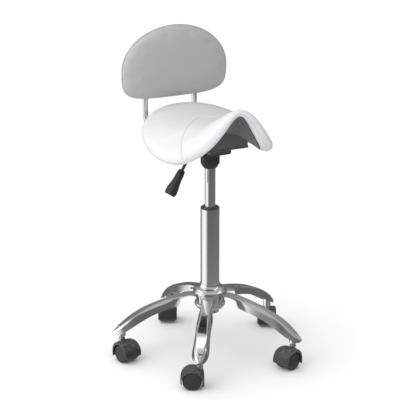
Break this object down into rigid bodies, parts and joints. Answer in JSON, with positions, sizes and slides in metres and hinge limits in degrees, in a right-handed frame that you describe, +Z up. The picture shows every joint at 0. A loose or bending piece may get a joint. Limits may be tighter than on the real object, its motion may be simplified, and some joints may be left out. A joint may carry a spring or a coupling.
{
  "type": "dentist saddle stool",
  "caption": "Saddle stool with a padded backrest on a gas lift, with a height lever and a star base on twin-wheel castors.",
  "frame": {"origin": "on the column's axis at floor level", "axes": "+Z up along the column; the user faces -Y; the height lever is at -X, the user's right; the saddle and backrest mirror about the YZ plane"},
  "size_m": [0.529, 0.5254, 0.8615],
  "materials": {
    "chrome": "mirror chrome plate",
    "steel": "bright zinc",
    "alloy": "machined",
    "black_steel": "black powder coat",
    "black_plastic": "fine moulded texture",
    "castor_plastic": "satin moulded nylon",
    "wheel_nylon": "satin moulded nylon",
    "plywood": "black stained",
    "buffer_rubber": "matte",
    "white_leatherette": "soft gloss leatherette",
    "grey_leatherette": "soft gloss leatherette",
    "lining_cloth": "woven lining"
  },
  "bodies": {
    "base": {"hub_socket": "chrome", "hub_collar": "chrome", "arm_front_right": "chrome", "arm_rear_right": "chrome", "arm_rear": "chrome", "arm_rear_left": "chrome", "arm_front_left": "chrome", "stand_tube": "chrome", "guide_bush": "black_plastic", "thrust_bearing": "steel"},
    "lift_rod": {"piston_rod": "steel", "piston": "alloy", "retaining_clip": "steel", "bump_stop": "buffer_rubber"},
    "seat": {"pressure_cylinder": "chrome", "rod_guide": "alloy", "mechanism_housing": "black_steel", "socket_funnel": "black_plastic", "seat_plate": "black_steel", "lever_pivot": "steel", "mounting_block": "lining_cloth", "plate_bolts": "steel", "tee_nuts": "steel", "seat_shell": "black_plastic", "seat_cushion": "white_leatherette", "seat_lining": "lining_cloth", "back_rod_left": "chrome", "back_rod_right": "chrome", "rod_bracket": "black_steel", "bracket_screws": "steel", "back_board": "plywood", "back_cushion": "grey_leatherette"},
    "lever": {"lever_rod": "black_steel", "lever_grip": "black_plastic"},
    "valve_pin": {"release_pin": "steel"},
    "castor_front_right": {"stem_front_right": "steel", "hood_front_right": "castor_plastic", "axle_front_right": "steel"},
    "wheel_a_front_right": {"wheel_a_front_right": "wheel_nylon"},
    "wheel_b_front_right": {"wheel_b_front_right": "wheel_nylon"},
    "castor_rear_right": {"stem_rear_right": "steel", "hood_rear_right": "castor_plastic", "axle_rear_right": "steel"},
    "wheel_a_rear_right": {"wheel_a_rear_right": "wheel_nylon"},
    "wheel_b_rear_right": {"wheel_b_rear_right": "wheel_nylon"},
    "castor_rear": {"stem_rear": "steel", "hood_rear": "castor_plastic", "axle_rear": "steel"},
    "wheel_a_rear": {"wheel_a_rear": "wheel_nylon"},
    "wheel_b_rear": {"wheel_b_rear": "wheel_nylon"},
    "castor_rear_left": {"stem_rear_left": "steel", "hood_rear_left": "castor_plastic", "axle_rear_left": "steel"},
    "wheel_a_rear_left": {"wheel_a_rear_left": "wheel_nylon"},
    "wheel_b_rear_left": {"wheel_b_rear_left": "wheel_nylon"},
    "castor_front_left": {"stem_front_left": "steel", "hood_front_left": "castor_plastic", "axle_front_left": "steel"},
    "wheel_a_front_left": {"wheel_a_front_left": "wheel_nylon"},
    "wheel_b_front_left": {"wheel_b_front_left": "wheel_nylon"}
  },
  "joints": [
    {"name": "seat_swivel", "type": "hinge", "parent": "base", "child": "lift_rod", "pos_m": [0, 0, 0.127], "axis": [0, 0, 1], "continuous": true},
    {"name": "seat_lift", "type": "slide", "parent": "lift_rod", "child": "seat", "axis": [0, 0, 1], "range_m": [-0.1, 0.04]},
    {"name": "height_lever", "type": "hinge", "parent": "seat", "child": "lever", "pos_m": [-0.028, -0.018, 0.57], "axis": [0, 1, 0], "range_deg": [0, 7], "stiffness_Nm_per_rad": 3, "springref_deg": -2.86},
    {"name": "pin_travel", "type": "slide", "parent": "seat", "child": "valve_pin", "axis": [0, 0, 1], "range_m": [-0.0036, 0]},
    {"name": "castor_swivel_front_right", "type": "hinge", "parent": "base", "child": "castor_front_right", "pos_m": [-0.14048, -0.19335, 0.062], "axis": [0, 0, 1], "continuous": true},
    {"name": "wheel_a_spin_front_right", "type": "hinge", "parent": "castor_front_right", "child": "wheel_a_front_right", "pos_m": [-0.1578, -0.18335, 0.025], "axis": [-0.5, -0.866, 0], "continuous": true},
    {"name": "wheel_b_spin_front_right", "type": "hinge", "parent": "castor_front_right", "child": "wheel_b_front_right", "pos_m": [-0.1578, -0.18335, 0.025], "axis": [-0.5, -0.866, 0], "continuous": true},
    {"name": "castor_swivel_rear_right", "type": "hinge", "parent": "base", "child": "castor_rear_right", "pos_m": [-0.2273, 0.07386, 0.062], "axis": [0, 0, 1], "continuous": true},
    {"name": "wheel_a_spin_rear_right", "type": "hinge", "parent": "castor_rear_right", "child": "wheel_a_rear_right", "pos_m": [-0.22314, 0.05429, 0.025], "axis": [0.9781, 0.2079, 0], "continuous": true},
    {"name": "wheel_b_spin_rear_right", "type": "hinge", "parent": "castor_rear_right", "child": "wheel_b_rear_right", "pos_m": [-0.22314, 0.05429, 0.025], "axis": [0.9781, 0.2079, 0], "continuous": true},
    {"name": "castor_swivel_rear", "type": "hinge", "parent": "base", "child": "castor_rear", "pos_m": [0, 0.239, 0.062], "axis": [0, 0, 1], "continuous": true},
    {"name": "wheel_a_spin_rear", "type": "hinge", "parent": "castor_rear", "child": "wheel_a_rear", "pos_m": [0.0097, 0.25649, 0.025], "axis": [-0.8746, 0.4848, 0], "continuous": true},
    {"name": "wheel_b_spin_rear", "type": "hinge", "parent": "castor_rear", "child": "wheel_b_rear", "pos_m": [0.0097, 0.25649, 0.025], "axis": [-0.8746, 0.4848, 0], "continuous": true},
    {"name": "castor_swivel_rear_left", "type": "hinge", "parent": "base", "child": "castor_rear_left", "pos_m": [0.2273, 0.07386, 0.062], "axis": [0, 0, 1], "continuous": true},
    {"name": "wheel_a_spin_rear_left", "type": "hinge", "parent": "castor_rear_left", "child": "wheel_a_rear_left", "pos_m": [0.237, 0.09135, 0.025], "axis": [-0.8746, 0.4848, 0], "continuous": true},
    {"name": "wheel_b_spin_rear_left", "type": "hinge", "parent": "castor_rear_left", "child": "wheel_b_rear_left", "pos_m": [0.237, 0.09135, 0.025], "axis": [-0.8746, 0.4848, 0], "continuous": true},
    {"name": "castor_swivel_front_left", "type": "hinge", "parent": "base", "child": "castor_front_left", "pos_m": [0.14048, -0.19335, 0.062], "axis": [0, 0, 1], "continuous": true},
    {"name": "wheel_a_spin_front_left", "type": "hinge", "parent": "castor_front_left", "child": "wheel_a_front_left", "pos_m": [0.12116, -0.19853, 0.025], "axis": [0.2588, -0.9659, 0], "continuous": true},
    {"name": "wheel_b_spin_front_left", "type": "hinge", "parent": "castor_front_left", "child": "wheel_b_front_left", "pos_m": [0.12116, -0.19853, 0.025], "axis": [0.2588, -0.9659, 0], "continuous": true}
  ],
  "couplings": [
    {"joint": "pin_travel", "follows": "height_lever", "m_per_rad": -0.028}
  ]
}
